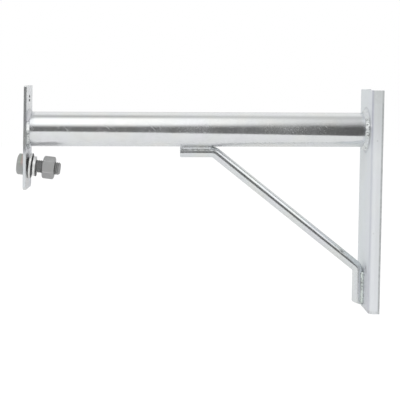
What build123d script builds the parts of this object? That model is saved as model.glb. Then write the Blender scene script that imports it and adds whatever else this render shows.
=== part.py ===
from build123d import *
from math import atan2, cos, degrees, radians, sin, tan
import os

# Extension arm: a tube between an end plate and a folded pole rail, a bent
# round bar as its brace, fillet welds, and a loose bolt set in the end plate.
# Millimetres. X runs along the arm, out of the rail towards the pole.
# Z is up and Y is across. The origin lies between the rail's two edges,
# where they meet the pole, at the height of the tube's axis.

# Tube
tube_diameter = 38.0
tube_wall = 2.5
tube_length = 373.0

# End plate, a flat bar on edge; its weld has drawn it off square, foot outward
plate_thickness = 3.0
plate_lean = 1.5
plate_above_axis = 47.5
plate_below_axis = 65.5
plate_foot_corner = 6.0
plate_head_corner = 1.2
plate_weld_land = 0.4
upper_hole_diameter = 10.0
upper_hole_height = 32.5
lower_hole_diameter = 16.0
lower_hole_drop = 39.0

# Pole rail, a sheet folded into a shallow channel
rail_width = 70.0
rail_depth = 12.0
rail_thickness = 3.0
rail_inner_bend = 3.0
rail_above_axis = 44.5
rail_below_axis = 200.5
rail_edge_round = 0.8

# Brace, a round bar with two bends
brace_diameter = 12.0
brace_bend_radius = 9.0
brace_reach = 169.0
brace_top_run = 38.0
brace_foot_run = 40.5
brace_foot_margin = 4.5
brace_foot_slant = 18.0
brace_end_round = 0.8

# Fillet welds
plate_weld_leg = 3.2
rail_weld_leg = 4.5
weld_crown = 0.5
weld_overlap = 1.0
brace_weld_inset = 1.0
brace_weld_tube_angle = 21.0
brace_weld_bar_angle = 66.0
rail_bead_bar_angle = 55.0
rail_bead_leg = 6.6

# Bolt set
bolt_diameter = 14.0
bolt_length = 39.0
bolt_droop = 7.1
bolt_end_chamfer = 1.2
hex_across_flats = 22.0
head_height = 8.0
head_turn = 14.0
bearing_diameter = 20.6
bearing_height = 0.6
nut_height = 12.8
nut_turn = 20.0
nut_near_face = 20.2
hex_chamfer_angle = 30.0
washer_diameter = 28.0
washer_bore = 15.0
washer_thickness = 2.5
washer_edge_round = 0.4
spring_diameter = 22.0
spring_bore = 14.8
spring_thickness = 3.0
spring_lift = 2.4
spring_sweep = 345.0
spring_gap_angle = -50.0

# Small gap between pieces that only lie against each other
rest_gap = 0.05

# Sizes that follow from the ones above
tube_radius = tube_diameter / 2
brace_radius = brace_diameter / 2
bolt_radius = bolt_diameter / 2
plate_width = tube_diameter + 2 * (plate_weld_leg + plate_weld_land)
web_face_x = -rail_depth
plate_inner_x = web_face_x - tube_length
plate_outer_x = plate_inner_x - plate_thickness
brace_top_z = -(tube_radius + brace_radius)
brace_foot_x = web_face_x - brace_radius
brace_foot_z = -(rail_below_axis - brace_foot_margin)
brace_corner_z = brace_foot_z + brace_foot_run
brace_bend_x = web_face_x - brace_reach
brace_slope = degrees(atan2(brace_top_z - brace_corner_z, brace_foot_x - brace_bend_x))
lean = radians(plate_lean)
bolt_tip = radians(bolt_droop - plate_lean)
head_offset = plate_thickness + bearing_diameter / 2 * sin(bolt_tip) + rest_gap


def across_at(x):
    """The plane across the arm at a place along it: its x is Y and its y is Z."""
    return Plane(origin=(x, 0, 0), x_dir=(0, 1, 0), z_dir=(1, 0, 0))


def plate_face():
    """The end plate's inner face: its y runs up the plate, its z towards the tube."""
    inward = Vector(cos(lean), 0, -sin(lean))
    return Plane(origin=(plate_inner_x, 0, 0), x_dir=(0, 1, 0), z_dir=inward)


def make_tube():
    """The tube, square at the rail and cut to the plate's lean at its outer end."""
    ring = Circle(tube_radius) - Circle(tube_radius - tube_wall)
    spare = tube_radius * tan(lean)
    tube = extrude(across_at(plate_inner_x - spare) * ring, amount=tube_length + spare)
    waste = Pos(0, 0, -tube_radius) * Box(2 * tube_diameter, 2 * tube_diameter, tube_diameter)
    return tube - plate_face() * waste


def make_end_plate():
    height = plate_above_axis + plate_below_axis
    middle = (plate_above_axis - plate_below_axis) / 2
    outline = Pos(0, middle) * Rectangle(plate_width, height)
    corners = outline.vertices().sort_by(Axis.Y)
    outline = fillet(corners[:2], plate_foot_corner)
    outline = fillet(outline.vertices().sort_by(Axis.Y)[-2:], plate_head_corner)
    outline -= Pos(0, upper_hole_height) * Circle(upper_hole_diameter / 2)
    outline -= Pos(0, -lower_hole_drop) * Circle(lower_hole_diameter / 2)
    return extrude(plate_face() * outline, amount=-plate_thickness)


def make_pole_rail():
    outer_bend = rail_inner_bend + rail_thickness
    half = rail_width / 2
    outside = Pos(-rail_depth / 2, 0) * Rectangle(rail_depth, rail_width)
    outside = fillet(outside.vertices().sort_by(Axis.X)[:2], outer_bend)
    inner_depth = rail_depth - rail_thickness
    inside = Pos(-inner_depth / 2, 0) * Rectangle(inner_depth, 2 * (half - rail_thickness))
    inside = fillet(inside.vertices().sort_by(Axis.X)[:2], rail_inner_bend)
    section = outside - inside
    section = fillet(section.vertices().sort_by(Axis.X)[-4:], rail_edge_round)
    height = rail_above_axis + rail_below_axis
    return extrude(Pos(0, 0, -rail_below_axis) * section, amount=height)


def brace_path(spare):
    """The bar's centre line: under the tube, down the slope, down the rail."""
    points = [
        (brace_bend_x - brace_top_run, 0, brace_top_z),
        (brace_bend_x, 0, brace_top_z),
        (brace_foot_x, 0, brace_corner_z),
        (brace_foot_x, 0, brace_foot_z - spare),
    ]
    return FilletPolyline(points, radius=brace_bend_radius)


def make_brace():
    """The bent bar. Its foot was sheared off at a slant, lowest against the rail."""
    slant = radians(brace_foot_slant)
    path = brace_path(brace_diameter * tan(slant))
    bar = sweep(Plane(origin=path @ 0, z_dir=path % 0) * Circle(brace_radius), path=path)
    shear = Plane(
        origin=(brace_foot_x, 0, brace_foot_z),
        x_dir=(0, 1, 0),
        z_dir=(-sin(slant), 0, -cos(slant)),
    )
    bar -= shear * Pos(0, 0, brace_diameter) * Box(*[2 * brace_diameter] * 3)
    ends = [bar.faces().sort_by(Axis.X)[0], bar.faces().sort_by(Axis.Z)[0]]
    return chamfer([edge for face in ends for edge in face.edges()], brace_end_round)


def ring_bead(face, leg):
    """A fillet weld round the tube on a flat face whose z points at the bead.

    The face may lean, so the bead is turned about the face's own z, a little
    too deep, and then cut to the tube that it sits on.
    """
    inner = tube_radius - weld_overlap
    reach = leg / 2 + weld_crown
    foot = (tube_radius + leg, 0)
    crown = (tube_radius + reach, reach)
    toe = (tube_radius, leg)
    tail = (inner, leg + weld_overlap)
    profile = make_face([ThreePointArc(foot, crown, toe), Polyline(toe, tail, (inner, 0), foot)])
    bead = face * revolve(Plane.XZ * profile, axis=Axis.Z)
    around = extrude(across_at(plate_outer_x) * Circle(tube_radius), amount=-plate_outer_x)
    return bead - around


def web_face():
    """The rail's outer face: its z runs out along the tube."""
    return Plane(origin=(web_face_x, 0, 0), x_dir=(0, 1, 0), z_dir=(-1, 0, 0))


def arc_point(centre, radius, angle):
    """A point on a circle, its angle in degrees counted from +x."""
    turn = radians(angle)
    return (centre[0] + radius * cos(turn), centre[1] + radius * sin(turn))


def brace_tube_bead(side):
    """The weld between the bar's top run and the tube, on one side of them."""
    tube, bar = (0, 0), (0, brace_top_z)
    root = (0, -tube_radius)
    tube_toe = arc_point(tube, tube_radius, -90 + side * brace_weld_tube_angle)
    tube_mid = arc_point(tube, tube_radius, -90 + side * brace_weld_tube_angle / 2)
    bar_toe = arc_point(bar, brace_radius, 90 - side * brace_weld_bar_angle)
    bar_mid = arc_point(bar, brace_radius, 90 - side * brace_weld_bar_angle / 2)
    crown_y = (tube_toe[0] + bar_toe[0]) / 2 + side * weld_crown
    crown = (crown_y, (tube_toe[1] + bar_toe[1]) / 2)
    profile = make_face(
        [
            ThreePointArc(root, tube_mid, tube_toe),
            ThreePointArc(tube_toe, crown, bar_toe),
            ThreePointArc(bar_toe, bar_mid, root),
        ]
    )
    start = brace_bend_x - brace_top_run + brace_weld_inset
    bend = brace_bend_radius * tan(radians(brace_slope / 2))
    run = brace_bend_x - bend - start
    return extrude(across_at(start) * profile, amount=run)


def brace_rail_bead(side):
    """The weld between the bar's foot run and the rail, on one side of them."""
    bar = (brace_foot_x, 0)
    root = (web_face_x, 0)
    rail_toe = (web_face_x, side * rail_bead_leg)
    bar_toe = arc_point(bar, brace_radius, side * rail_bead_bar_angle)
    bar_mid = arc_point(bar, brace_radius, side * rail_bead_bar_angle / 2)
    crown_x = (rail_toe[0] + bar_toe[0]) / 2 - weld_crown
    crown = (crown_x, (rail_toe[1] + bar_toe[1]) / 2 + side * weld_crown)
    profile = make_face(
        [
            Line(root, rail_toe),
            ThreePointArc(rail_toe, crown, bar_toe),
            ThreePointArc(bar_toe, bar_mid, root),
        ]
    )
    bend = brace_bend_radius * tan(radians((90 - brace_slope) / 2))
    return extrude(Pos(0, 0, brace_foot_z) * profile, amount=brace_foot_run - bend)


def bolt_plane():
    """The bolt's own frame: its z runs along the shank from under the head.

    The bolt droops, so the head's upper edge lies on the plate's outer face
    and the shank's underside on the lower edge of the hole's inner mouth.
    """
    face = plate_face()
    hole_floor = -lower_hole_drop - lower_hole_diameter / 2
    mouth = hole_floor + rest_gap + bolt_radius / cos(bolt_tip)
    up = mouth + head_offset * tan(bolt_tip)
    droop = radians(bolt_droop)
    return Plane(
        origin=face.origin + face.y_dir * up - face.z_dir * head_offset,
        x_dir=(0, 1, 0),
        z_dir=(cos(droop), 0, -sin(droop)),
    )


def hex_body(height, turn, both_ends):
    """A hexagonal prism on z = 0, its corners turned off at the top or at both ends."""
    corner = hex_across_flats / 2 / cos(radians(30))
    flat = hex_across_flats / 2
    drop = (corner - flat) * tan(radians(hex_chamfer_angle))
    prism = extrude(RegularPolygon(corner, 6, rotation=turn), amount=height)
    foot = [(flat, 0), (corner, drop)] if both_ends else [(corner, 0)]
    top = [(corner, height - drop), (flat, height)]
    blank = make_face(Polyline((0, 0), *foot, *top, (0, height), close=True))
    return prism & revolve(Plane.XZ * blank, axis=Axis.Z)


def make_bolt():
    hexagon = hex_body(head_height - bearing_height, head_turn, False)
    head = Pos(0, 0, -bearing_height) * Rot(180, 0, 0) * hexagon
    head += extrude(Circle(bearing_diameter / 2), amount=-bearing_height)
    shank = extrude(Circle(bolt_radius), amount=bolt_length)
    tip = shank.edges().filter_by(GeomType.CIRCLE).sort_by(Axis.Z)[-1]
    shank = chamfer(tip, bolt_end_chamfer)
    return bolt_plane() * (head + shank)


def washer_hang():
    """How far the flat washer's centre hangs below the shank's axis."""
    return (washer_bore - bolt_diameter) / 2 - rest_gap


def washer_start():
    """How far along the shank the flat washer lies when its foot leans on the plate."""
    foot = washer_diameter / 2 + washer_hang()
    return (foot * sin(bolt_tip) + rest_gap + head_offset) / cos(bolt_tip)


def make_flat_washer():
    ring = Circle(washer_diameter / 2) - Circle(washer_bore / 2)
    washer = extrude(ring, amount=washer_thickness)
    rim = washer.edges().filter_by(GeomType.CIRCLE).sort_by(SortBy.RADIUS)[-2:]
    washer = fillet(rim.sort_by(Axis.Z)[-1], washer_edge_round)
    return bolt_plane() * Pos(0, -washer_hang(), washer_start()) * washer


def make_spring_washer():
    """A split ring whose ends stand apart along the bolt."""
    middle = (spring_diameter + spring_bore) / 4
    width = (spring_diameter - spring_bore) / 2
    pitch = spring_lift * 360 / spring_sweep
    line = Helix(pitch=pitch, height=spring_lift, radius=middle)
    section = Plane(origin=line @ 0, x_dir=(1, 0, 0), z_dir=line % 0)
    ring = sweep(section * Rectangle(width, spring_thickness), path=line, is_frenet=True)
    start = washer_start() + washer_thickness + rest_gap + spring_thickness / 2 + rest_gap
    hang = -(spring_bore - bolt_diameter) / 2 + rest_gap
    return bolt_plane() * Pos(0, hang, start) * Rot(0, 0, spring_gap_angle) * ring


def make_nut():
    body = hex_body(nut_height, nut_turn, True)
    body -= extrude(Circle(bolt_radius), amount=nut_height)
    return bolt_plane() * Pos(0, 0, nut_near_face) * body


PIECES = {
    "arm_tube": make_tube,
    "end_plate": make_end_plate,
    "pole_rail": make_pole_rail,
    "brace_bar": make_brace,
    "weld_tube_plate": lambda: ring_bead(plate_face(), plate_weld_leg),
    "weld_tube_rail": lambda: ring_bead(web_face(), rail_weld_leg),
    "weld_brace_tube_front": lambda: brace_tube_bead(-1),
    "weld_brace_tube_back": lambda: brace_tube_bead(1),
    "weld_brace_rail_front": lambda: brace_rail_bead(-1),
    "weld_brace_rail_back": lambda: brace_rail_bead(1),
    "clamp_bolt": make_bolt,
    "flat_washer": make_flat_washer,
    "spring_washer": make_spring_washer,
    "hex_nut": make_nut,
}

os.makedirs("parts", exist_ok=True)
for name, make in PIECES.items():
    piece = make()
    export_step(piece, f"parts/{name}.step")
    print(name, round(piece.volume, 1))
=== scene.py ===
# %% [markdown]
# # A welded extension arm in bright zinc
#
# The object carries a cable clamp away from a pole: a round tube between an
# upright end plate and a folded rail, a bent round bar that props the tube,
# and a loose bolt set. All of it is steel with a bright zinc plating.
#
# The hard shapes come from the CAD model, which loads as a fixed frame: the
# rail stands at the origin, the tube's axis is the X axis, and the arm reaches
# along -X. This lesson adds what CAD leaves out: threads, weld beads, wear, the
# finish of each part, a camera and a studio. Blender counts in metres. Sizes of
# the pieces made here are in millimetres and are turned into metres at the end.

# %% Load the frame
from math import atan2, ceil, cos, pi, radians, sin, tan

import bmesh
import bpy
from mathutils import Matrix, Vector, noise


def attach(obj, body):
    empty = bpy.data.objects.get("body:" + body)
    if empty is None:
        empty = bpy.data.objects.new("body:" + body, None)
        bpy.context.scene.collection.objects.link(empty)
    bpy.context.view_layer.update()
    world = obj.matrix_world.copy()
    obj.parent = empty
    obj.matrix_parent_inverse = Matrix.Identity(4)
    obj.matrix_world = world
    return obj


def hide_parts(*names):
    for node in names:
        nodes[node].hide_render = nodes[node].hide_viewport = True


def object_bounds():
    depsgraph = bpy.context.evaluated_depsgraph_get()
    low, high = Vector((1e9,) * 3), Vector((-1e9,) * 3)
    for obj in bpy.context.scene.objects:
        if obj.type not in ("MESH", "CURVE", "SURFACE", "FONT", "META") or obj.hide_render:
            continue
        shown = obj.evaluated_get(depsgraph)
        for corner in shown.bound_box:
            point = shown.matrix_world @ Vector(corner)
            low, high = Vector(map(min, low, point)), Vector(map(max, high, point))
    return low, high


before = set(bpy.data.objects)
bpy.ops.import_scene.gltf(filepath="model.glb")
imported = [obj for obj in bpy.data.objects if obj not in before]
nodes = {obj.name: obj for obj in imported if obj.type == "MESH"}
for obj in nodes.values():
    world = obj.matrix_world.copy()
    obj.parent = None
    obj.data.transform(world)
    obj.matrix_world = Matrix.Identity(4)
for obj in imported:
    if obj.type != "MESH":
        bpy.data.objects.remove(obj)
scene = bpy.context.scene
cad_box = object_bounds()
mm = 0.001
print("nodes:", len(nodes), "box:", [tuple(round(v, 4) for v in p) for p in cad_box])

# %% [markdown]
# ## Shader maths as Python
#
# A material is a small network of nodes. Clicking it together is slow and
# reading it back is hard, so two small classes write it as Python. `Wire` wraps
# one output socket and adds a Math node for every + - * / that it meets.
# `Graph` owns the network, and its one method makes any other node.

# %% A socket that understands arithmetic
class Wire:
    """The output socket of a node."""

    def __init__(self, graph, socket):
        self.graph = graph
        self.socket = socket

    def math(self, operation, *others, flip=False):
        values = (*others, self) if flip else (self, *others)
        return self.graph.node("Math", {"operation": operation}, dict(enumerate(values)))

    def __add__(self, other):
        return self.math("ADD", other)

    def __radd__(self, other):
        return self.math("ADD", other, flip=True)

    def __sub__(self, other):
        return self.math("SUBTRACT", other)

    def __rsub__(self, other):
        return self.math("SUBTRACT", other, flip=True)

    def __mul__(self, other):
        return self.math("MULTIPLY", other)

    def __rmul__(self, other):
        return self.math("MULTIPLY", other, flip=True)

    def __truediv__(self, other):
        return self.math("DIVIDE", other)

    def __rtruediv__(self, other):
        return self.math("DIVIDE", other, flip=True)

    def __abs__(self):
        return self.math("ABSOLUTE")

    def step(self, low, high, start, end):
        """start below low, end above high, and a smooth step between them."""
        return self.graph.node(
            "MapRange",
            {"interpolation_type": "SMOOTHSTEP"},
            {"Value": self, "From Min": low, "From Max": high, "To Min": start, "To Max": end},
        )

    def rises(self, low, high):
        """0 below low, 1 above high."""
        return self.step(low, high, 0.0, 1.0)

    def falls(self, low, high):
        """1 below low, 0 above high."""
        return self.step(low, high, 1.0, 0.0)

    def near(self, centre, reach):
        """1 at centre, falling smoothly to 0 at reach on either side of it."""
        return abs(self - centre).falls(0.0, reach)

    def stretched(self, *factors):
        """A vector multiplied by three numbers."""
        return self.graph.node(
            "VectorMath", {"operation": "MULTIPLY"}, {0: self, 1: factors}
        )

    def close_to(self, point, reach):
        """1 at a point, falling smoothly to 0 at reach; both in millimetres."""
        offset = self.graph.node(
            "VectorMath", {"operation": "SUBTRACT"}, {0: self, 1: [c * mm for c in point]}
        )
        distance = self.graph.node("VectorMath", {"operation": "LENGTH"}, {0: offset}, out="Value")
        return distance.falls(0.0, reach * mm)


# %% A network of nodes
class Graph:
    """The node tree of a material or of the world."""

    def __init__(self, owner):
        owner.use_nodes = True
        self.tree = owner.node_tree
        self.tree.nodes.clear()

    def node(self, kind, settings=None, values=None, out=0):
        """A node: its settings go first, then the values or links of its sockets."""
        made = self.tree.nodes.new("ShaderNode" + kind)
        for name, setting in (settings or {}).items():
            if name == "stops":
                while len(made.color_ramp.elements) < len(setting):
                    made.color_ramp.elements.new(1.0)
                for stop, (place, colour) in zip(made.color_ramp.elements, setting):
                    stop.position = place
                    stop.color = (*colour, 1.0)
            else:
                setattr(made, name, setting)
        for name, value in (values or {}).items():
            if isinstance(value, Wire):
                self.tree.links.new(value.socket, made.inputs[name])
            else:
                made.inputs[name].default_value = value
        return Wire(self, made.outputs[out]) if made.outputs else None

    def mix(self, amount, first, second):
        """A blend of two colours."""
        return self.node("Mix", {"data_type": "RGBA"}, {0: amount, 6: first, 7: second}, out=2)

    def ramp(self, amount, stops):
        """A colour from a row of (place, colour) stops."""
        return self.node("ValToRGB", {"stops": stops}, {0: amount})

    def noise(self, place, size, detail=2.0, roughness=0.5):
        """Cloudy noise from 0 to 1 whose blotches are about size metres across."""
        return self.node("TexNoise", values={
            "Vector": place, "Scale": 1.0 / size, "Detail": detail, "Roughness": roughness,
        })

    def place(self):
        """The point on the surface, in metres in the shared frame."""
        return self.node("TexCoord", out="Object")

    def axes(self, vector):
        """The x, y and z of a vector."""
        made = self.node("SeparateXYZ", values={0: vector}).socket.node
        return [Wire(self, socket) for socket in made.outputs]

    def bump(self, height, depth, normal=None):
        """A normal for a surface whose height of 0 to 1 stands for depth metres."""
        values = {"Height": height, "Distance": depth, "Strength": 1.0}
        if normal:
            values["Normal"] = normal
        return self.node("Bump", values=values)


def material(name, build):
    """A material whose Principled sockets come from build(graph), a dict."""
    made = bpy.data.materials.new(name)
    graph = Graph(made)
    shader = graph.node("BsdfPrincipled", values=build(graph))
    graph.node("OutputMaterial", values={"Surface": shader})
    made.diffuse_color = (0.7, 0.7, 0.7, 1.0)
    print("finish", name, "has", len(graph.tree.nodes), "nodes")
    return made


# %% [markdown]
# ## The camera
#
# The photograph was taken from a little above the tube and left of the middle.
# A camera could be set by eye, but then nothing else could be compared with the
# photograph. So its place and turn were worked out from the corners of the
# plate, the rail and the bar. A small vertical shift keeps the upright rail
# upright in the picture, as a view camera does.

# %% Camera
camera_place = Vector((-234.59, -1044.54, 64.72)) * mm
camera_yaw, camera_pitch, camera_roll = 0.0362, -0.0942, 0.0053

forward = Vector((
    sin(camera_yaw) * cos(camera_pitch),
    cos(camera_yaw) * cos(camera_pitch),
    sin(camera_pitch),
))
level = forward.cross(Vector((0, 0, 1))).normalized()
upright = level.cross(forward)
right = cos(camera_roll) * level + sin(camera_roll) * upright
up = -sin(camera_roll) * level + cos(camera_roll) * upright
camera_turn = Matrix((right, up, -forward)).transposed()

camera = bpy.data.objects.new("camera", bpy.data.cameras.new("camera"))
camera.matrix_world = Matrix.Translation(camera_place) @ camera_turn.to_4x4()
camera.data.sensor_width = 36.0
camera.data.lens = 85.11
camera.data.shift_y = -0.1
camera.data.clip_start = 0.01
scene.collection.objects.link(camera)
scene.camera = camera
print("camera looks along", tuple(round(v, 3) for v in forward))

# %% [markdown]
# ## The studio
#
# Polished metal is mostly a picture of the room around it. In the photograph
# the tube shows four bands: a pale floor below, a dark strip where the room
# behind the camera is unlit, a bright lamp overhead and a pale wall behind,
# with a dim seam between lamp and wall. Real panels could stand round the arm,
# but each would also throw its own light and shadow. So the world does it: for
# reflections it is that room, painted by direction; for plain shading it is
# even soft light; and the camera itself sees a white background.

# %% World
world = bpy.data.worlds.new("studio")
scene.world = world
room = Graph(world)
east, north, zenith = room.axes(room.node("TexCoord", out="Generated"))

right_half = east.rises(-0.05, 0.25)
far_right = east.rises(0.24, 0.50)
dim_corner = right_half * (1.0 - far_right)
dark_room = 0.125 - east.rises(0.13, 0.22) * 0.10
lamp_light = 1.28 - dim_corner * 0.66
lamp_foot = 0.20 + dim_corner * 0.10 - far_right * 0.10
lamp_top = 0.66 + dim_corner * 0.34 - far_right * 0.20
up_the_lamp = (zenith - lamp_foot) / (lamp_top - lamp_foot)
front_light = dark_room + up_the_lamp.rises(0.0, 1.0) * (lamp_light - dark_room)

seam_depth = 0.48 - east.rises(-0.03, 0.05) * 0.14
seam = (north - 0.10 + right_half * 0.04).near(0.0, 0.45) * zenith.rises(0.5, 0.8)
beside = abs(east).rises(0.35, 0.60)
low_wall = zenith.rises(0.0, 0.10) * zenith.falls(0.30, 0.42)
back_light = 0.92 - low_wall * (0.30 + beside * 0.35)
in_front = (0.0 - north).rises(-0.15, 0.30)
room_light = in_front * front_light + (1.0 - in_front) * back_light
reflected = room_light * (1.0 - seam * seam_depth)
print("the room has", len(room.tree.nodes), "nodes so far")

# %% What each kind of ray sees
soft_light = 0.93 - north * 0.13 + zenith * 0.05
camera_ray = room.node("LightPath", out="Is Camera Ray")
glossy_ray = room.node("LightPath", out="Is Glossy Ray")
lit = glossy_ray * reflected + (1.0 - glossy_ray) * soft_light
strength = camera_ray + (1.0 - camera_ray) * lit
glow = room.node("Background", values={"Color": (1, 1, 1, 1), "Strength": strength})
room.node("OutputWorld", values={"Surface": glow})
print("world has", len(room.tree.nodes), "nodes")

# %% [markdown]
# The floor is a sheet of white paper. It could be part of the painted world, but
# a real sheet takes the arm's shadow. Its front edge runs at a slant below the
# camera, and where it ends the tube's dark band begins. For camera rays part of
# its light is its own, so it reads as white and still keeps a soft shadow.

# %% Floor
floor_height = cad_box[0].z - 0.06
floor_outline = [
    (-3.0, -1.6), (-0.5, -1.09), (-0.28, -0.80), (-0.12, -0.55), (0.06, -0.33), (0.25, -0.31),
    (3.0, -0.31), (3.0, 3.0), (-3.0, 3.0),
]

paper = bpy.data.materials.new("white_paper")
sheet = Graph(paper)
grain = sheet.noise(sheet.place(), 0.02)
diffuse = sheet.node("BsdfDiffuse", values={
    "Color": sheet.mix(grain, (0.78, 0.78, 0.79, 1), (0.82, 0.82, 0.82, 1)),
})
own_light = sheet.node("Emission", values={"Color": (1, 1, 1, 1), "Strength": 1.2})
eye = sheet.node("LightPath", out="Is Camera Ray")
sheet.node("OutputMaterial", values={
    "Surface": sheet.node("MixShader", values={0: eye * 0.6, 1: diffuse, 2: own_light}),
})

floor_mesh = bpy.data.meshes.new("floor")
floor_mesh.from_pydata(
    [(x, y, floor_height) for x, y in floor_outline], [], [range(len(floor_outline))]
)
ground = bpy.data.objects.new("floor", floor_mesh)
ground.data.materials.append(paper)
scene.collection.objects.link(ground)
print("floor lies", round(-floor_height / mm), "mm below the tube's axis")

# %% [markdown]
# One wide lamp above the camera gives the shading a direction. A small one would
# do that too, but with hard shadows. It is hidden from reflections, because the
# world already shows it there.

# %% Lamp
lamp = bpy.data.objects.new("lamp", bpy.data.lights.new("lamp", "AREA"))
lamp.data.shape = "RECTANGLE"
lamp.data.size, lamp.data.size_y = 1.6, 1.0
lamp.data.energy = 6.0
lamp.location = (-0.5, -0.9, 1.3)
lamp_aim = Vector((-0.2, 0, -0.05)) - lamp.location
lamp.rotation_euler = lamp_aim.to_track_quat("-Z", "Y").to_euler()
lamp.visible_glossy = False
scene.collection.objects.link(lamp)
print("lamp hangs", round(lamp_aim.length, 2), "m from the tube")

# %% [markdown]
# ## Zinc
#
# Bright zinc plating is a thin layer of metal that copies the steel under it:
# long draw lines on tube and bar, a fine satin on sheet. It never comes out
# even: it has cloudy patches with a blue or straw tint, and dull specks. It
# could be a photograph of plating wrapped round each part, but noise has no
# seams and fits any size. `zinc` holds the recipe once, and each part gives it
# its own numbers and the direction of its draw lines. What happened to one part
# alone, and the painted shade and highlights some parts carry, is laid over it
# by one small helper.

# %% The zinc recipe
shimmer = [
    (0.30, (0.80, 0.79, 0.88)), (0.42, (0.78, 0.82, 0.86)), (0.54, (0.79, 0.84, 0.81)),
    (0.66, (0.84, 0.83, 0.75)), (0.78, (0.84, 0.78, 0.78)),
]


def zinc(
    name, tone, shine, roughness, lines=(1, 1, 1), line_depth=4e-6, dimple_depth=20e-6,
    dimple_size=2.2e-3, tint=0.25, speck=0.3, grazing=(1, 1, 1, 1), extra=None,
):
    """Zinc plating: tone is its colour, shine how metallic it is, lines the
    stretch of its draw lines along x, y and z, grazing the tint it has at a
    shallow angle, and extra a function that lays stains and painted light on it."""

    def build(g):
        place = g.place()
        cloud = g.noise(place, 0.022, detail=3.0, roughness=0.6)
        drawn = g.noise(place.stretched(*lines), 0.9e-3, detail=3.0, roughness=0.6)
        dimples = g.noise(place, dimple_size, detail=2.0)
        dull_specks_and_painted_shadows = g.noise(place, 0.7e-3, detail=1.0).rises(0.66, 0.76)
        hue = g.ramp(g.noise(place, 0.026, detail=1.0), shimmer)
        dimmer_tone = tuple(0.94 * c for c in tone[:3]) + (1,)
        colour = g.mix(cloud.rises(0.3, 0.7), tone, dimmer_tone)
        colour = g.mix(tint, colour, hue)
        colour = g.mix(dull_specks_and_painted_shadows * speck, colour, (0.42, 0.43, 0.44, 1))
        sockets = {
            "Base Color": colour,
            "Metallic": shine - cloud.rises(0.45, 0.75) * 0.08,
            "Roughness": roughness + drawn.rises(0.3, 0.7) * 0.07 + dull_specks_and_painted_shadows * 0.2,
            "Normal": g.bump(drawn, line_depth, g.bump(dimples, dimple_depth)),
            "Specular Tint": grazing,
        }
        if extra:
            extra(g, place, sockets)
        return sockets

    return material(name, build)


def stain_and_painted_light(g, sockets, amount, colour, rougher=0.0, duller=0.0):
    """Lays a colour over the finish where amount is 1, and roughens and dulls it there. It lays
    real stains and marks as well as painted shade and highlights.
    """
    sockets["Base Color"] = g.mix(amount, sockets["Base Color"], (*colour, 1.0))
    if rougher:
        sockets["Roughness"] = sockets["Roughness"] + amount * rougher
    if duller:
        sockets["Metallic"] = sockets["Metallic"] - amount * duller


# %% [markdown]
# ### The tube
#
# The tube is drawn, so its plating mirrors the room in long bands. In the
# photograph the dark band is broken up: carrying and stacking have left patches
# of fine slanting scratches, and they spread light into it. Each could be drawn
# by hand, but noise that is sheared, squeezed and cut off high gives hundreds
# at once. Welding has tinted both ends of the tube.

# %% Finish of the tube
def scuffs(g, place, reach):
    """Patches of slanting scratches and dull spots within reach of the axis's height."""
    x, y, z = g.axes(place)
    slanting = g.node("CombineXYZ", values={0: x + z * 1.1, 1: y * 0.3, 2: z * 0.15})
    scratches = g.noise(slanting, 1.4e-3, detail=3.0, roughness=0.65).rises(0.53, 0.64)
    patches = g.noise(place.stretched(1, 0.2, 0.2), 0.026, detail=1.0).rises(0.50, 0.60)
    spots = g.noise(place, 1.5e-3, detail=2.0).rises(0.60, 0.70)
    return (scratches * patches + spots * 0.4) * z.near(0.002, reach)


def scuffed_tube(g, place, sockets):
    x, _, z = g.axes(place)
    worn = (x.near(-0.105, 0.055) + x.near(-0.205, 0.030)) * z.near(0.001, 0.007)
    marks = scuffs(g, place, 0.011) * (0.6 - x.rises(-0.09, -0.03) * 0.25) + worn * 0.25
    stain_and_painted_light(g, sockets, marks, (0.74, 0.76, 0.77), rougher=0.45, duller=0.25)
    sockets["Roughness"] = sockets["Roughness"] + z.falls(-0.0165, -0.012) * 0.30
    speckle = g.noise(place, 1.1e-3, detail=2.0).rises(0.50, 0.62) * z.near(0.005, 0.012)
    speckle = speckle * x.rises(-0.11, -0.04)
    stain_and_painted_light(g, sockets, speckle * 0.12, (0.70, 0.73, 0.72), rougher=0.3)
    heat = x.rises(-0.022, -0.016) + x.falls(-0.383, -0.376)
    stain_and_painted_light(g, sockets, heat * 0.35, (0.66, 0.68, 0.74), rougher=0.3)


tube_zinc = zinc(
    "bright_tube_zinc", (0.82, 0.83, 0.83, 1), 0.94, 0.11, lines=(0.03, 1, 1), tint=0.2,
    extra=scuffed_tube,
)

# %% [markdown]
# ### The bar
#
# The bar is drawn too. Welding has left a sooty line on it under its bead, and
# near its foot is a dent where a tool pinched it. The dent could be pressed into
# the mesh, but a CAD part keeps its mesh. So it is a dark spot with a bump, set
# out along the slope of the bar and across it.

# %% Finish of the bar
dent_x, dent_z = -0.0373, -0.1361
brace_run, brace_drop = 163.0, 130.5


def near_half(y):
    """1 on the half of a piece that faces the camera."""
    return y.falls(-0.003, -0.001)


def pinched_bar(g, place, sockets):
    dark = (0.16, 0.17, 0.17)
    spots = g.noise(place, 1.5e-3, detail=2.0).rises(0.52, 0.66)
    stain_and_painted_light(g, sockets, spots * 0.2, (0.60, 0.62, 0.62), rougher=0.3)
    x, y, z = g.axes(place)
    under_bead = x.rises(-0.220, -0.218) * x.falls(-0.186, -0.184)
    under_bead = under_bead * z.near(-0.0228, 0.0007) * near_half(y)
    soot = g.noise(place, 2.6e-3).rises(0.36, 0.50)
    stain_and_painted_light(g, sockets, under_bead * (0.25 + soot * 0.6), dark, rougher=0.3, duller=0.5)
    slope = atan2(brace_drop, brace_run)
    from_dent, above_dent = x - dent_x, z - dent_z
    along = from_dent * cos(slope) - above_dent * sin(slope)
    aside = from_dent * sin(slope) + above_dent * cos(slope)
    pinch = along.near(0.0, 0.0050) * aside.near(0.0, 0.0024) * near_half(y)
    stain_and_painted_light(g, sockets, pinch * 0.9, dark, rougher=0.4, duller=0.9)
    sockets["Normal"] = g.bump(1.0 - pinch, 0.12e-3, sockets["Normal"])


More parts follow.
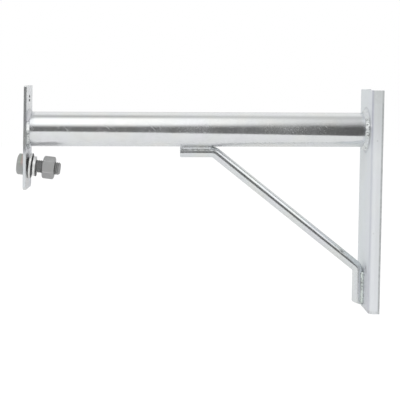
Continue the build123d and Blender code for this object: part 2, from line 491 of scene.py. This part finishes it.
bar_zinc = zinc(
    "bright_bar_zinc", (0.78, 0.80, 0.80, 1), 0.90, 0.15, lines=(0.05, 1, 0.07), tint=0.25,
    extra=pinched_bar,
)

# %% [markdown]
# ### The plate
#
# The plate is cut from flat bar and looks satin. Round its lower hole it carries
# painted shade and a painted reflection of the bolt set, and from the tube down
# its near edge is bleached. Just under the tube its inner face has a painted
# shadow. The wall of the upper hole is pale, with two painted shadows in it.
#
# Such marks could be painted by hand on an unwrapped mesh. Here each one is a
# mask, a range of x, y and z or the distance from a point. It needs no
# unwrapping, and it stays where it is on the object from every side.

# %% Finish of the plate
def plate_wear_and_painted_shade(g, place, sockets):
    _, y, z = g.axes(place)
    # painted shade and a painted reflection of the bolt set round the lower hole
    painted_shade_ring = place.close_to((-386.0, 0, -39.0), 22.0).rises(0.05, 0.35)
    stain_and_painted_light(g, sockets, painted_shade_ring * 0.45, (0.40, 0.41, 0.42), rougher=0.1)
    edge = y.falls(-0.0218, -0.0212)
    bleached = z.falls(-0.030, -0.018) * edge
    stain_and_painted_light(g, sockets, bleached * 0.85, (0.66, 0.69, 0.71), rougher=0.15, duller=0.8)
    clean_face = (1.0 - edge) * z.rises(0.018, 0.028)
    stain_and_painted_light(g, sockets, clean_face * 0.45, (0.88, 0.89, 0.89), duller=0.4)
    foot = place.close_to((-386.7, 20.0, -63.5), 9.0).rises(0.1, 0.5)
    foot = foot * g.noise(place, 1.6e-3).rises(0.48, 0.56)
    stain_and_painted_light(g, sockets, foot * 0.8, (0.22, 0.23, 0.23), rougher=0.2)
    # painted shadow on the inner face just under the tube
    painted_shadow_under_tube = z.near(-0.021, 0.006) * y.falls(-0.004, 0.006)
    stain_and_painted_light(g, sockets, painted_shadow_under_tube * 0.35, (0.46, 0.47, 0.50), rougher=0.1)
    bore = place.close_to((-385.65, 0, 32.5), 6.0).rises(0.015, 0.035)
    # two painted shadows in the wall of the upper hole
    dull_specks_and_painted_shadows = z.near(0.0362, 0.0032).rises(0.1, 0.6) + z.near(0.0312, 0.0022).rises(0.1, 0.6)
    stain_and_painted_light(g, sockets, bore * 0.8, (0.84, 0.85, 0.86), rougher=0.2, duller=0.8)
    stain_and_painted_light(g, sockets, bore * dull_specks_and_painted_shadows * 0.9, (0.10, 0.10, 0.11), rougher=0.2)


plate_zinc = zinc(
    "satin_plate_zinc", (0.74, 0.75, 0.76, 1), 0.88, 0.22, lines=(1, 1, 0.06), tint=0.3,
    grazing=(0.82, 0.825, 0.845, 1), extra=plate_wear_and_painted_shade,
)

# %% [markdown]
# ### The rail
#
# The rail is folded from sheet, and its plating is pale, almost like paint.
# Each bend carries a dark line of painted shade, stronger in its upper part, and
# welding has left a scorched ring round the tube. The top of the near flange, the
# web beside the bar and the crotch under the bar have painted shade, and a
# painted highlight sits on the bend beside the ring. The shears have left the
# long edges grey and the ends mottled. The scorch follows the distance from the
# tube's axis, and the other marks are masks like those of the plate.

# %% Finish of the rail
rail_half_width = 35.0
across_the_rail = [
    (0.0, (0.72, 0.74, 0.76)), (0.15, (0.71, 0.75, 0.79)), (1.0, (0.70, 0.76, 0.76)),
]
rail_dents = (((-6.6, -35, -9.8), 1.3), ((-9.0, -35, -111.0), 1.6))


def folded_rail(g, place, sockets):
    x, y, z = g.axes(place)
    half = rail_half_width * mm
    side_tint = g.ramp((y + half) / (2 * half), across_the_rail)
    sockets["Base Color"] = g.mix(0.6, sockets["Base Color"], side_tint)

    # painted shade: a dark line along each bend, stronger in its upper part
    painted_bend_shade = x.near(-0.0115, 0.0016) * abs(y).rises(0.0275, 0.0295)
    painted_bend_shade = painted_bend_shade * (0.45 + z.rises(-0.024, 0.004) * 0.45)
    stain_and_painted_light(g, sockets, painted_bend_shade, (0.46, 0.47, 0.54), rougher=0.1)
    # painted shade on the upper part of the near flange
    painted_flange_shade = y.falls(-0.0340, -0.0315) * z.rises(-0.035, 0.020)
    stain_and_painted_light(g, sockets, painted_flange_shade * 0.42, (0.44, 0.46, 0.45), rougher=0.1)
    mottle = g.noise(place, 2.4e-3, detail=3.0).rises(0.40, 0.60)
    sheared = x.rises(-0.0026, -0.0018) * (0.70 + mottle * 0.2)
    stain_and_painted_light(g, sockets, sheared, (0.36, 0.38, 0.38), rougher=0.1)

    outer = x.falls(-0.0119, -0.0113)
    from_axis = (y * y + z * z).math("SQRT")
    scorched = from_axis.near(0.0246, 0.0018) * outer
    near_side = y.falls(-0.022, -0.014)
    scorched = scorched * (0.45 + near_side * 0.40)
    stain_and_painted_light(g, sockets, scorched, (0.40, 0.41, 0.46), rougher=0.1)
    # a painted highlight on the bend beside the ring bead
    painted_bend_highlight = place.close_to((-12.0, -28.4, 6.5), 3.4)
    stain_and_painted_light(g, sockets, painted_bend_highlight * 0.8, (0.95, 0.95, 0.96), duller=0.1)
    # painted shadow on the web beside the bar's foot
    painted_shadow_beside_bar = z.falls(-0.158, -0.150) * y.falls(-0.011, -0.006) * outer
    stain_and_painted_light(g, sockets, painted_shadow_beside_bar * (0.35 + mottle * 0.15), (0.50, 0.50, 0.56), rougher=0.1)
    # painted shade in the crotch between the bar and the rail
    painted_shade_in_crotch = place.close_to((-12.0, -14.0, -154.0), 10.0) * outer
    stain_and_painted_light(g, sockets, painted_shade_in_crotch * (0.45 + mottle * 0.4), (0.36, 0.36, 0.39), rougher=0.1)

    on_flange = abs(y).rises(0.0300, 0.0325)
    ends = z.rises(0.029, 0.033) * on_flange + z.falls(-0.1985, -0.1965)
    stain_and_painted_light(g, sockets, ends * (0.25 + mottle * 0.35), (0.52, 0.54, 0.54), rougher=0.1)
    for spot, reach in rail_dents:
        dent = place.close_to(spot, reach)
        stain_and_painted_light(g, sockets, dent * 0.7, (0.45, 0.46, 0.47))
        sockets["Normal"] = g.bump(1.0 - dent, 0.15e-3, sockets["Normal"])
    rust = place.close_to((-11.4, -31.5, -198.5), 3.5) * mottle
    stain_and_painted_light(g, sockets, rust * 0.5, (0.44, 0.40, 0.40), duller=0.1)


rail_zinc = zinc(
    "pale_rail_zinc", (0.75, 0.77, 0.79, 1), 0.16, 0.38, lines=(1, 1, 0.03), tint=0.25,
    speck=0.15, extra=folded_rail,
)

# %% [markdown]
# ### Fasteners
#
# The bolt hangs loosely in the plate's lower hole and droops by seven degrees:
# its shank rests on the foot of the hole, and its head on the plate's outer
# face. It could be modelled upright and turned as an object, but the finishes
# read a point's place in the shared frame. So the points themselves are turned:
# `on_bolt` takes a place round the bolt's own axis and gives it in the frame.

# %% The bolt's own frame
plate_face_x, plate_thickness, plate_lean = -385.0, 3.0, radians(1.5)
shank_radius, hole_foot, rest_gap, bearing_radius = 7.0, -47.0, 0.05, 10.3
droop = radians(7.1)
tip = droop - plate_lean
head_gap = plate_thickness + bearing_radius * sin(tip) + rest_gap
climb = hole_foot + rest_gap + shank_radius / cos(tip) + head_gap * tan(tip)
up_plate = Vector((sin(plate_lean), 0, cos(plate_lean)))
off_plate = Vector((cos(plate_lean), 0, -sin(plate_lean)))
head_place = Vector((plate_face_x, 0, 0)) + up_plate * climb - off_plate * head_gap
bolt_frame = Matrix((
    (0, sin(droop), cos(droop), head_place.x * mm),
    (1, 0, 0, 0),
    (0, cos(droop), -sin(droop), head_place.z * mm),
    (0, 0, 0, 1),
))


def on_bolt(radius, angle, along):
    """A point round the bolt's axis, in millimetres and radians."""
    return bolt_frame @ (Vector((radius * cos(angle), radius * sin(angle), along)) * mm)


print("bolt starts at", tuple(round(v / mm, 2) for v in bolt_frame.translation))

# %% [markdown]
# The washers are bright. Their flat faces, and the flat washer's side towards the
# plate, carry painted shade: the shade and dark reflection between the parts.
# Masks in x, y and z would cut slantwise through pieces that droop, so theirs use
# the distance along the bolt instead.

# %% Finish of the washers
flat_washer_end, spring_washer_end = 8.04, 13.4


def along_bolt(g, place):
    """The distance along the bolt from under its head, in millimetres."""
    x, _, z = g.axes(place)
    from_head = (x / mm - head_place.x) * cos(droop)
    return from_head - (z / mm - head_place.z) * sin(droop)


def washer_painted_shade(g, place, sockets):
    along = along_bolt(g, place)
    # painted shade on the washers' flat faces and on the flat washer's side towards the plate
    flat_face = along.near(flat_washer_end, 0.35) + along.falls(5.6, 6.3) * 0.6
    spring_face = along.rises(spring_washer_end - 1.6, spring_washer_end - 0.5)
    shade_mottle = g.noise(place, 3.0e-3).rises(0.25, 0.45)
    amount = flat_face.math("MAXIMUM", spring_face) * (0.55 + shade_mottle * 0.4)
    stain_and_painted_light(g, sockets, amount, (0.06, 0.06, 0.06), rougher=0.3, duller=0.3)


washer_zinc = zinc(
    "bright_washer_zinc", (0.96, 0.96, 0.95, 1), 0.32, 0.26, tint=0.12, dimple_size=1.5e-3,
    extra=washer_painted_shade,
)

# %% [markdown]
# The bolt and the nut have a dull, dark plating. The upper half of the head has
# a bloom that turns from green to rust towards the plate. On the nut's near side
# one corner carries a painted highlight, with painted light on the flat above it
# and painted shade on the flat below. A picture could be laid over them, but a
# ramp along the bolt and two bands across the nut are enough.

# %% Finish of the bolt
def warm_head(g, place, sockets):
    """A bloom on the upper half of the head, a darker thread and a pale end."""
    along = along_bolt(g, place)
    _, _, z = g.axes(place)
    bloom = along.rises(-6.5, -2.5) * along.falls(0.0, 0.3) * z.rises(-0.042, -0.034)
    hue = g.ramp(along.rises(-5.5, -2.0), [
        (0.0, (0.28, 0.44, 0.36)), (0.45, (0.40, 0.42, 0.34)), (1.0, (0.50, 0.36, 0.34)),
    ])
    sockets["Base Color"] = g.mix(bloom * 0.75, sockets["Base Color"], hue)
    thread = along.rises(2.0, 3.0)
    stain_and_painted_light(g, sockets, thread * 0.6, (0.24, 0.24, 0.24), rougher=0.22)
    stain_and_painted_light(g, sockets, along.rises(35.0, 37.0) * 0.4, (0.46, 0.46, 0.46))


bolt_steel = zinc(
    "dull_bolt_zinc", (0.37, 0.375, 0.37, 1), 0.55, 0.42, tint=0.10, dimple_size=1.2e-3,
    dimple_depth=40e-6, extra=warm_head,
)

# %% Finish of the nut
def nut_painted_light_and_shade(g, place, sockets):
    """A painted highlight along a corner on the near side, painted light on the flat above it and
    painted shade on the flat below.
    """
    x, y, z = g.axes(place)
    above = (x / mm - head_place.x) * sin(droop) + (z / mm - head_place.z) * cos(droop)
    near_side = near_half(y)
    # painted light on the near upper flat, painted shade on the lower flat and a painted highlight
    # along the corner
    painted_shade_below = above.falls(-4.6, -4.1) * near_side
    stain_and_painted_light(g, sockets, (1.0 - painted_shade_below) * near_side * 0.35, (0.52, 0.52, 0.51))
    stain_and_painted_light(g, sockets, painted_shade_below * 0.45, (0.30, 0.30, 0.30))
    stain_and_painted_light(g, sockets, above.near(-4.2, 0.7) * near_side * 0.6, (0.62, 0.62, 0.61))


nut_steel = zinc(
    "dull_nut_zinc", (0.42, 0.42, 0.42, 1), 0.55, 0.42, tint=0.08, dimple_size=1.2e-3,
    dimple_depth=40e-6, extra=nut_painted_light_and_shade,
)

# %% [markdown]
# Six of the CAD parts are good as they are. Their meshes aren't touched: each
# only swaps the plain material that it came with for its finish. The bolt, the
# nut and the weld beads get new meshes below.

# %% Hand the finishes to the CAD parts
finishes = {
    "arm_tube": tube_zinc,
    "brace_bar": bar_zinc,
    "end_plate": plate_zinc,
    "pole_rail": rail_zinc,
    "flat_washer": washer_zinc,
    "spring_washer": washer_zinc,
}
for name, its_finish in finishes.items():
    nodes[name].data.materials.clear()
    nodes[name].data.materials.append(its_finish)
print("finished CAD parts:", len(finishes))

# %% [markdown]
# ## Skins over loops
#
# The bolt, the nut and the weld beads could each be built from curves and
# modifiers, with other settings for each. But all of them are the same kind of
# surface: a closed loop of points that is repeated along a path. So one helper
# makes them. It takes the loops in order, joins each to the next with quads,
# and either caps the two ends or joins the last loop to the first.

# %% Skin helper
def skin(name, loops, its_finish, wrap=False, toes=None, crease=35.0):
    """A closed mesh over loops of points. toes gives each point of a loop a
    number that its material can read."""
    made = bmesh.new()
    shade = made.verts.layers.float.new("toe")
    grid = [[made.verts.new(point) for point in loop] for loop in loops]
    count = len(grid[0])
    if toes:
        for row, values in zip(grid, toes):
            for vertex, value in zip(row, values):
                vertex[shade] = value
    for a, b in zip(grid, grid[1:] + grid[:1] if wrap else grid[1:]):
        for i in range(count):
            j = (i + 1) % count
            made.faces.new((a[i], a[j], b[j], b[i]))
    if not wrap:
        made.faces.new(grid[0][::-1])
        made.faces.new(grid[-1])
    bmesh.ops.remove_doubles(made, verts=made.verts, dist=1e-7)
    bmesh.ops.recalc_face_normals(made, faces=made.faces)
    mesh = bpy.data.meshes.new(name)
    made.to_mesh(mesh)
    made.free()
    mesh.materials.append(its_finish)
    mesh.shade_smooth()
    mesh.set_sharp_from_angle(angle=radians(crease))
    piece = bpy.data.objects.new(name, mesh)
    scene.collection.objects.link(piece)
    print(name, "has", len(mesh.polygons), "faces")
    return piece


def settle(piece, node):
    """The piece hangs from the root body, and the CAD node it stands for is hidden."""
    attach(piece, "root")
    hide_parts(node)


# %% [markdown]
# ## The bolt
#
# A thread is what makes a bolt a bolt, and CAD has it as a plain cylinder. A
# screw modifier could cut it, but a shank is easier as rings of points whose
# radius follows the thread: crest, flank, root, flank. The head is a hexagon
# with its corners turned off by a shallow cone, which gives each flat its arc.

# %% Hexagon and thread profiles
flat_radius, cone = 11.0, tan(radians(30))
thread_pitch, thread_depth = 2.0, 0.8


def hex_radius(angle, turn):
    """The distance from the middle of a hexagon to its side."""
    sector = (angle - turn) % (pi / 3) - pi / 6
    return flat_radius / cos(sector)


def cone_drop(radius):
    """How far the cone has fallen at this radius; it starts at the flats."""
    return (radius - flat_radius) * cone


def thread_radius(along, angle):
    """The radius of a right-hand thread, cut inward from the shank."""
    turn = (along / thread_pitch - angle / (2 * pi)) % 1.0
    from_crest = abs(2 * turn - 1)
    return shank_radius - thread_depth * min(1.0, max(0.0, (from_crest - 0.30) / 0.55))


print("hexagon corners lie", round(hex_radius(0, 0), 2), "mm out")

# %% Bolt mesh
shank_length, tip_chamfer, head_height = 39.0, 1.4, 8.0
head_turn = radians(-14.0)
thread_rings, ring_points = 270, 60
angles = [2 * pi * i / ring_points for i in range(ring_points)]


def round_ring(radius, along):
    return [on_bolt(radius, a, along) for a in angles]


def hex_ring(inset, along):
    """A hexagon whose sides lie inset within the head's own."""
    return [on_bolt(hex_radius(a, head_turn) - inset, a, along) for a in angles]


def crown_ring(below_top):
    """The wavy line where the crown's cone meets the six flats."""
    radii = [hex_radius(a, head_turn) for a in angles]
    return [on_bolt(r, a, -head_height + cone_drop(r) + below_top) for r, a in zip(radii, angles)]


def thread_ring(along):
    """A ring of points on the thread, kept inside the chamfer at the shank's end."""
    limit = shank_radius - tip_chamfer + (shank_length - along)
    return [on_bolt(min(thread_radius(along, a), limit), a, along) for a in angles]


crown = [
    round_ring(7.2, -head_height + 0.4), round_ring(8.4, -head_height),
    round_ring(9.6, -head_height + 0.05), crown_ring(0.8),
]
bearing_face = [
    hex_ring(0.05, -0.75), hex_ring(0.25, -0.6), round_ring(bearing_radius, -0.55),
    round_ring(bearing_radius, 0.0), round_ring(shank_radius - 0.4, 0.0),
]
shank = [thread_ring(shank_length * i / thread_rings) for i in range(1, thread_rings + 1)]
threaded_bolt = skin("threaded_bolt", crown + bearing_face + shank, bolt_steel, crease=40.0)
settle(threaded_bolt, "clamp_bolt")

# %% [markdown]
# ## The nut
#
# A nut could be cut from a cylinder with boolean tools, but they leave long thin
# faces that shade badly. Here it is a ring of loops instead of a stack: at every
# angle the same profile runs from the bore over the lower chamfered face, up
# the flat and back over the upper face. Joined all the way round, it is a
# closed body with a hole through it. The hole is plain: the bolt fills it.

# %% Nut mesh
nut_start, nut_height, nut_turn = 20.2, 12.8, radians(20.0)
nut_steps = 96
nut_loops = []
for i in range(nut_steps):
    angle = 2 * pi * i / nut_steps
    edge = hex_radius(angle, nut_turn)
    drop = cone_drop(edge)
    lower_half = [
        (7.02, 0.75), (7.7, 0.05), (8.0, 0.0), (flat_radius - 0.5, 0.0), (flat_radius, 0.05),
        (edge - 0.12, drop + 0.05), (edge, drop + 0.3),
    ]
    upper_half = [(radius, nut_height - along) for radius, along in reversed(lower_half)]
    nut_loops.append([
        on_bolt(radius, angle, nut_start + along) for radius, along in lower_half + upper_half
    ])
chamfered_nut = skin("chamfered_nut", nut_loops, nut_steel, wrap=True, crease=25.0)
settle(chamfered_nut, "hex_nut")

# %% [markdown]
# ## Weld beads
#
# A weld bead is metal that froze in small waves, each a crescent that points
# along the joint. The plating covers them but can't hide the dark groove at
# the toe, where bead and steel meet. A bump map could fake the waves, but the
# bead's outline would stay smooth. So each bead is a skin over cross-sections:
# its face bulges, wanders a little in width, and carries the ripple.
#
# A number called "toe" is stored with each point, and the finish darkens the
# bead where it nears 1: along the plate or rail on the rings, and along both
# toes on the straight beads. Pits are dark spots and painted highlights white
# spots, placed as the photograph shows them.

# %% Pits and painted highlights
weld_pits = (
    ((-383.8, -14.0, -16.1), 2.6), ((-12.0, -15.0, -12.8), 2.2), ((-219.0, -6.0, -21.8), 2.4),
    ((-13.4, -6.0, -196.1), 2.4), ((-14.6, -6.9, -171.5), 2.2), ((-14.2, -7.1, -175.6), 2.0),
    ((-14.8, -6.8, -179.0), 1.8), ((-15.2, -6.4, -167.5), 1.6),
)
weld_painted_highlights = (
    ((-193.7, -6.0, -22.9), 1.6), ((-179.9, -5.0, -20.8), 1.6), ((-13.8, -6.0, -159.8), 1.6),
    ((-14.4, -18.8, 8.5), 2.4), ((-12.8, -21.6, 6.5), 1.8), ((-15.2, -19.9, 4.2), 3.2),
    ((-14.8, -20.6, 0.0), 2.0), ((-383.0, -20.4, 4.6), 5.0), ((-383.0, -20.8, 1.0), 4.0),
)
print("marked spots on the beads:", len(weld_pits) + len(weld_painted_highlights))

# %% Finish of the beads
tube_middle = -0.1985


def with_toes(g, place, sockets):
    toe = g.node("Attribute", {"attribute_name": "toe"}, out="Fac")
    soot = g.noise(place, 2.2e-3, detail=3.0).rises(0.30, 0.62)
    x, _, z = g.axes(place)
    on_ring = abs(x - tube_middle).rises(0.178, 0.180) * z.rises(-0.10, -0.09)
    clean_toe = abs(z).rises(0.011, 0.017) * on_ring
    dark = toe.rises(0.35, 1.0) * (0.35 + soot * 0.65) * (1.0 - clean_toe * 0.75)
    stain_and_painted_light(g, sockets, dark * 0.9, (0.14, 0.15, 0.15), rougher=0.35, duller=0.4)
    crust = g.noise(place, 1.6e-3, detail=3.0).rises(0.48, 0.60)
    stain_and_painted_light(g, sockets, crust * 0.5, (0.44, 0.46, 0.46), rougher=0.25, duller=0.2)

    tube_run = x.rises(-0.222, -0.219) * x.falls(-0.183, -0.180)
    stain_and_painted_light(g, sockets, tube_run * 0.3, (0.56, 0.57, 0.58), duller=0.9)
    dashes = g.noise(place, 2.6e-3).rises(0.36, 0.48) * z.near(-0.0218, 0.0014) * tube_run
    stain_and_painted_light(g, sockets, dashes * 0.9, (0.20, 0.21, 0.21), rougher=0.3, duller=0.3)
    foot_run = z.falls(-0.158, -0.153) * (1.0 - toe.rises(0.5, 0.9))
    stain_and_painted_light(g, sockets, foot_run * 0.75, (0.74, 0.81, 0.75), duller=0.5)

    for spot, reach in weld_pits:
        pit = place.close_to(spot, reach)
        stain_and_painted_light(g, sockets, pit * 0.9, (0.12, 0.12, 0.13), rougher=0.4, duller=0.6)
    # white spots of painted highlight on the beads
    for spot, reach in weld_painted_highlights:
        painted_highlight_spot = place.close_to(spot, reach) * (1.0 - crust * 0.35)
        stain_and_painted_light(g, sockets, painted_highlight_spot, (0.96, 0.97, 0.97), duller=0.8)
    shaded = x.falls(-0.3806, -0.3800) * z.rises(0.007, 0.010)
    stain_and_painted_light(g, sockets, shaded * 0.6, (0.60, 0.58, 0.63), rougher=0.2, duller=0.3)
    crown_of_ring = z.rises(0.009, 0.016)
    stain_and_painted_light(g, sockets, crown_of_ring * 0.4, (0.70, 0.72, 0.72), rougher=0.5, duller=0.6)


weld_zinc = zinc(
    "plated_weld_zinc", (0.78, 0.81, 0.82, 1), 0.84, 0.12, tint=0.35, speck=0.5,
    dimple_size=1.5e-3, dimple_depth=150e-6, extra=with_toes,
)


# %% Ripple and wander
def wobble(position, seed, size):
    """Smooth noise from -1 to 1 along a bead; position and size in millimetres."""
    return noise.noise(Vector((position / size, seed * 7.3, seed * 3.1)))


def ripple(position, across, spacing, seed):
    """The height of the frozen waves, 0 to 1; across runs from toe to toe."""
    bow = 0.9 * sin(pi * across)
    phase = (position + bow * spacing + 0.5 * wobble(position, seed, 6.0) * spacing) / spacing % 1.0
    return (1.0 - abs(2.0 * phase - 1.0)) ** 0.7


face_points, hidden_steps = 12, 6
print("ripple at the middle of a wave:", round(ripple(1.3, 0.5, 2.6, 1), 2))

# %% [markdown]
# A ring bead is swept round the tube. One of its two legs lies along the tube
# and the other stands on the plate or the rail, and each has its own wander.
# Where the plate leans, every point moves over by as much as the plate does at
# that height.

# %% Ring beads round the tube
tube_radius, rail_face_x = 19.0, -12.0
ring_sections, ring_waves, tube_girth = 300, 44, 119.38
along_wander, out_wander = 0.12, 0.38
root_sink, slant = 0.4, 0.7


def ring_bead(name, node, face_x, lean, side, leg, seed, lift=0.5):
    """A bead round the tube on a flat face that may lean; side is +1 or -1 along x."""
    loops, toes = [], []
    for i in range(ring_sections):
        angle = 2 * pi * i / ring_sections
        position = tube_radius * angle
        round_about = Vector((4 * cos(angle), 4 * sin(angle), seed))
        elsewhere = round_about + Vector((0, 0, 9))
        along_leg = leg * (1.0 - along_wander * abs(noise.noise(round_about)))
        out_leg = leg * (1.0 - out_wander * abs(noise.noise(elsewhere)))
        section, toe_row = [(0.0, -root_sink)], [0.0]
        for k in range(face_points + 1):
            t = k / face_points
            waves = lift * ripple(position, t, tube_girth / ring_waves, seed)
            swell = sin(pi * t) * (0.30 + waves)
            section.append(((1 - t) * along_leg + swell * slant, t * out_leg + swell * slant))
            toe_row.append(max(0.0, (t - 0.55) / 0.45))
        loops.append([
            Vector((
                face_x + side * x + (tube_radius + r) * sin(angle) * tan(lean),
                (tube_radius + r) * cos(angle),
                (tube_radius + r) * sin(angle),
            )) * mm
            for x, r in section
        ])
        toes.append(toe_row)
    piece = skin(name, loops, weld_zinc, wrap=True, toes=toes, crease=60.0)
    settle(piece, node)


ring_bead("plate_weld", "weld_tube_plate", plate_face_x, plate_lean, 1, 3.2, seed=1)
ring_bead("rail_weld", "weld_tube_rail", rail_face_x, 0.0, -1, 4.5, seed=2)

# %% [markdown]
# A straight bead fills the corner between two steels. Its cross-section has a
# face that is seen and a hidden side that follows one steel down to the line
# where the two touch and the other steel up again. It reaches a little into
# both, so no light shows between them, and it narrows towards its two ends.

# %% The sides of a bead's section
def on_circle(centre, radius, angle):
    """A point on a circle; its angle in degrees is counted from the first axis."""
    return (centre[0] + radius * cos(radians(angle)), centre[1] + radius * sin(radians(angle)))


def bowed(a, b, bulge):
    """Points from a to b that bow out by the vector bulge."""
    return lambda t: tuple(a[i] + (b[i] - a[i]) * t + bulge[i] * sin(pi * t) for i in range(2))


def hidden_side(first, second):
    """Points down one steel, then up the other. Each steel runs from 0, where
    the two touch, to 1 at its toe."""
    return lambda t: first(1 - 2 * t) if t < 0.5 else second(2 * t - 1)


# %% A bead along a straight joint
section_length, end_length = 0.4, 2.2


def run_bead(name, node, face, hidden, out, start, length, to_world, seed, soot, lift=0.3):
    """A bead along a straight joint, in millimetres. face(t) and hidden(t) are
    points of the two sides of its section, and out is the way the face swells.
    to_world places a point of the section at a distance along the joint. soot
    is how dark each toe is, and lift how high the waves stand."""
    steps = ceil(length / section_length)
    root = Vector(hidden(0.5))
    loops, toes = [], []
    for i in range(steps + 1):
        u = i / steps
        position = start + length * u
        end = min(1.0, min(u, 1 - u) * length / end_length)
        taper = 0.55 + 0.45 * (1 - (1 - end) ** 2) ** 0.5
        loop, toe_row = [], []
        for k in range(face_points + 1):
            t = k / face_points
            wander = 1.0 + 0.22 * wobble(position, seed + 0.31 * (t > 0.5), 4.0)
            waves = lift * (ripple(position, t, 2.5, seed) - 0.6) * taper
            lumps = 0.45 * wobble(position, seed + 5, 3.2) * taper
            swell = sin(pi * t) * (waves + lumps + 0.1 * wander)
            loop.append(root + (Vector(face(t)) - root) * taper + Vector(out) * swell)
            toe_row.append(soot[t > 0.5] * abs(2 * t - 1) ** 2)
        for k in range(1, hidden_steps):
            loop.append(root + (Vector(hidden(k / hidden_steps)) - root) * taper)
            toe_row.append(0.0)
        loops.append([to_world(p, position) * mm for p in loop])
        toes.append(toe_row)
    piece = skin(name, loops, weld_zinc, toes=toes, crease=60.0)
    settle(piece, node)


# %% [markdown]
# Between tube and bar the section's corner lies between two circles, so its
# toes are given as turns round them. The bead on the far side is the same with
# the side turned round and other ripples, so one loop makes both.

# %% Beads between tube and bar
bar_radius, bite = 6.0, 0.15
tube_axis, bar_below_tube = (0, 0), (0, -(tube_radius + bar_radius))
tube_toe_turn, bar_toe_turn = 21.0, 66.0
for side, name, node in (
    (-1, "tube_bar_weld_near", "weld_brace_tube_front"),
    (1, "tube_bar_weld_far", "weld_brace_tube_back"),
):
    run_bead(
        name, node,
        face=bowed(
            on_circle(tube_axis, tube_radius, -90 + side * tube_toe_turn),
            on_circle(bar_below_tube, bar_radius, 90 - side * bar_toe_turn),
            (side * 0.5, 0),
        ),
        hidden=hidden_side(
            lambda s: on_circle(bar_below_tube, bar_radius - bite, 90 - side * bar_toe_turn * s),
            lambda s: on_circle(tube_axis, tube_radius - bite, -90 + side * tube_toe_turn * s),
        ),
        out=(side, 0), start=-218.0, length=33.84,
        to_world=lambda point, x: Vector((x, point[0], point[1])),
        seed=3 + side, soot=(0.3, 1.3), lift=0.6,
    )

# %% [markdown]
# Between bar and rail one side of the corner is the rail's flat face, and the
# joint runs upright. The same function makes these two with other sides.

# %% Beads between bar and rail
bar_by_rail = (rail_face_x - bar_radius, 0)
foot_toe_turn, rail_toe_y = 64.0, 6.6
for side, name, node in (
    (-1, "rail_bar_weld_near", "weld_brace_rail_front"),
    (1, "rail_bar_weld_far", "weld_brace_rail_back"),
):
    run_bead(
        name, node,
        face=bowed(
            (rail_face_x, side * rail_toe_y),
            on_circle(bar_by_rail, bar_radius, side * foot_toe_turn),
            (-0.7, side * 0.7),
        ),
        hidden=hidden_side(
            lambda s: on_circle(bar_by_rail, bar_radius - bite, side * foot_toe_turn * s),
            lambda s: (rail_face_x + 0.1, side * rail_toe_y * s),
        ),
        out=(-0.6, side * 0.8), start=-196.0, length=36.18,
        to_world=lambda point, z: Vector((point[0], point[1], z)),
        seed=7 + side, soot=(1.2, 1.2),
    )

# %% [markdown]
# ## Finish
#
# The picture settings stay plain, so a colour renders as it is written.

# %% Finish
scene.view_settings.view_transform = "Standard"
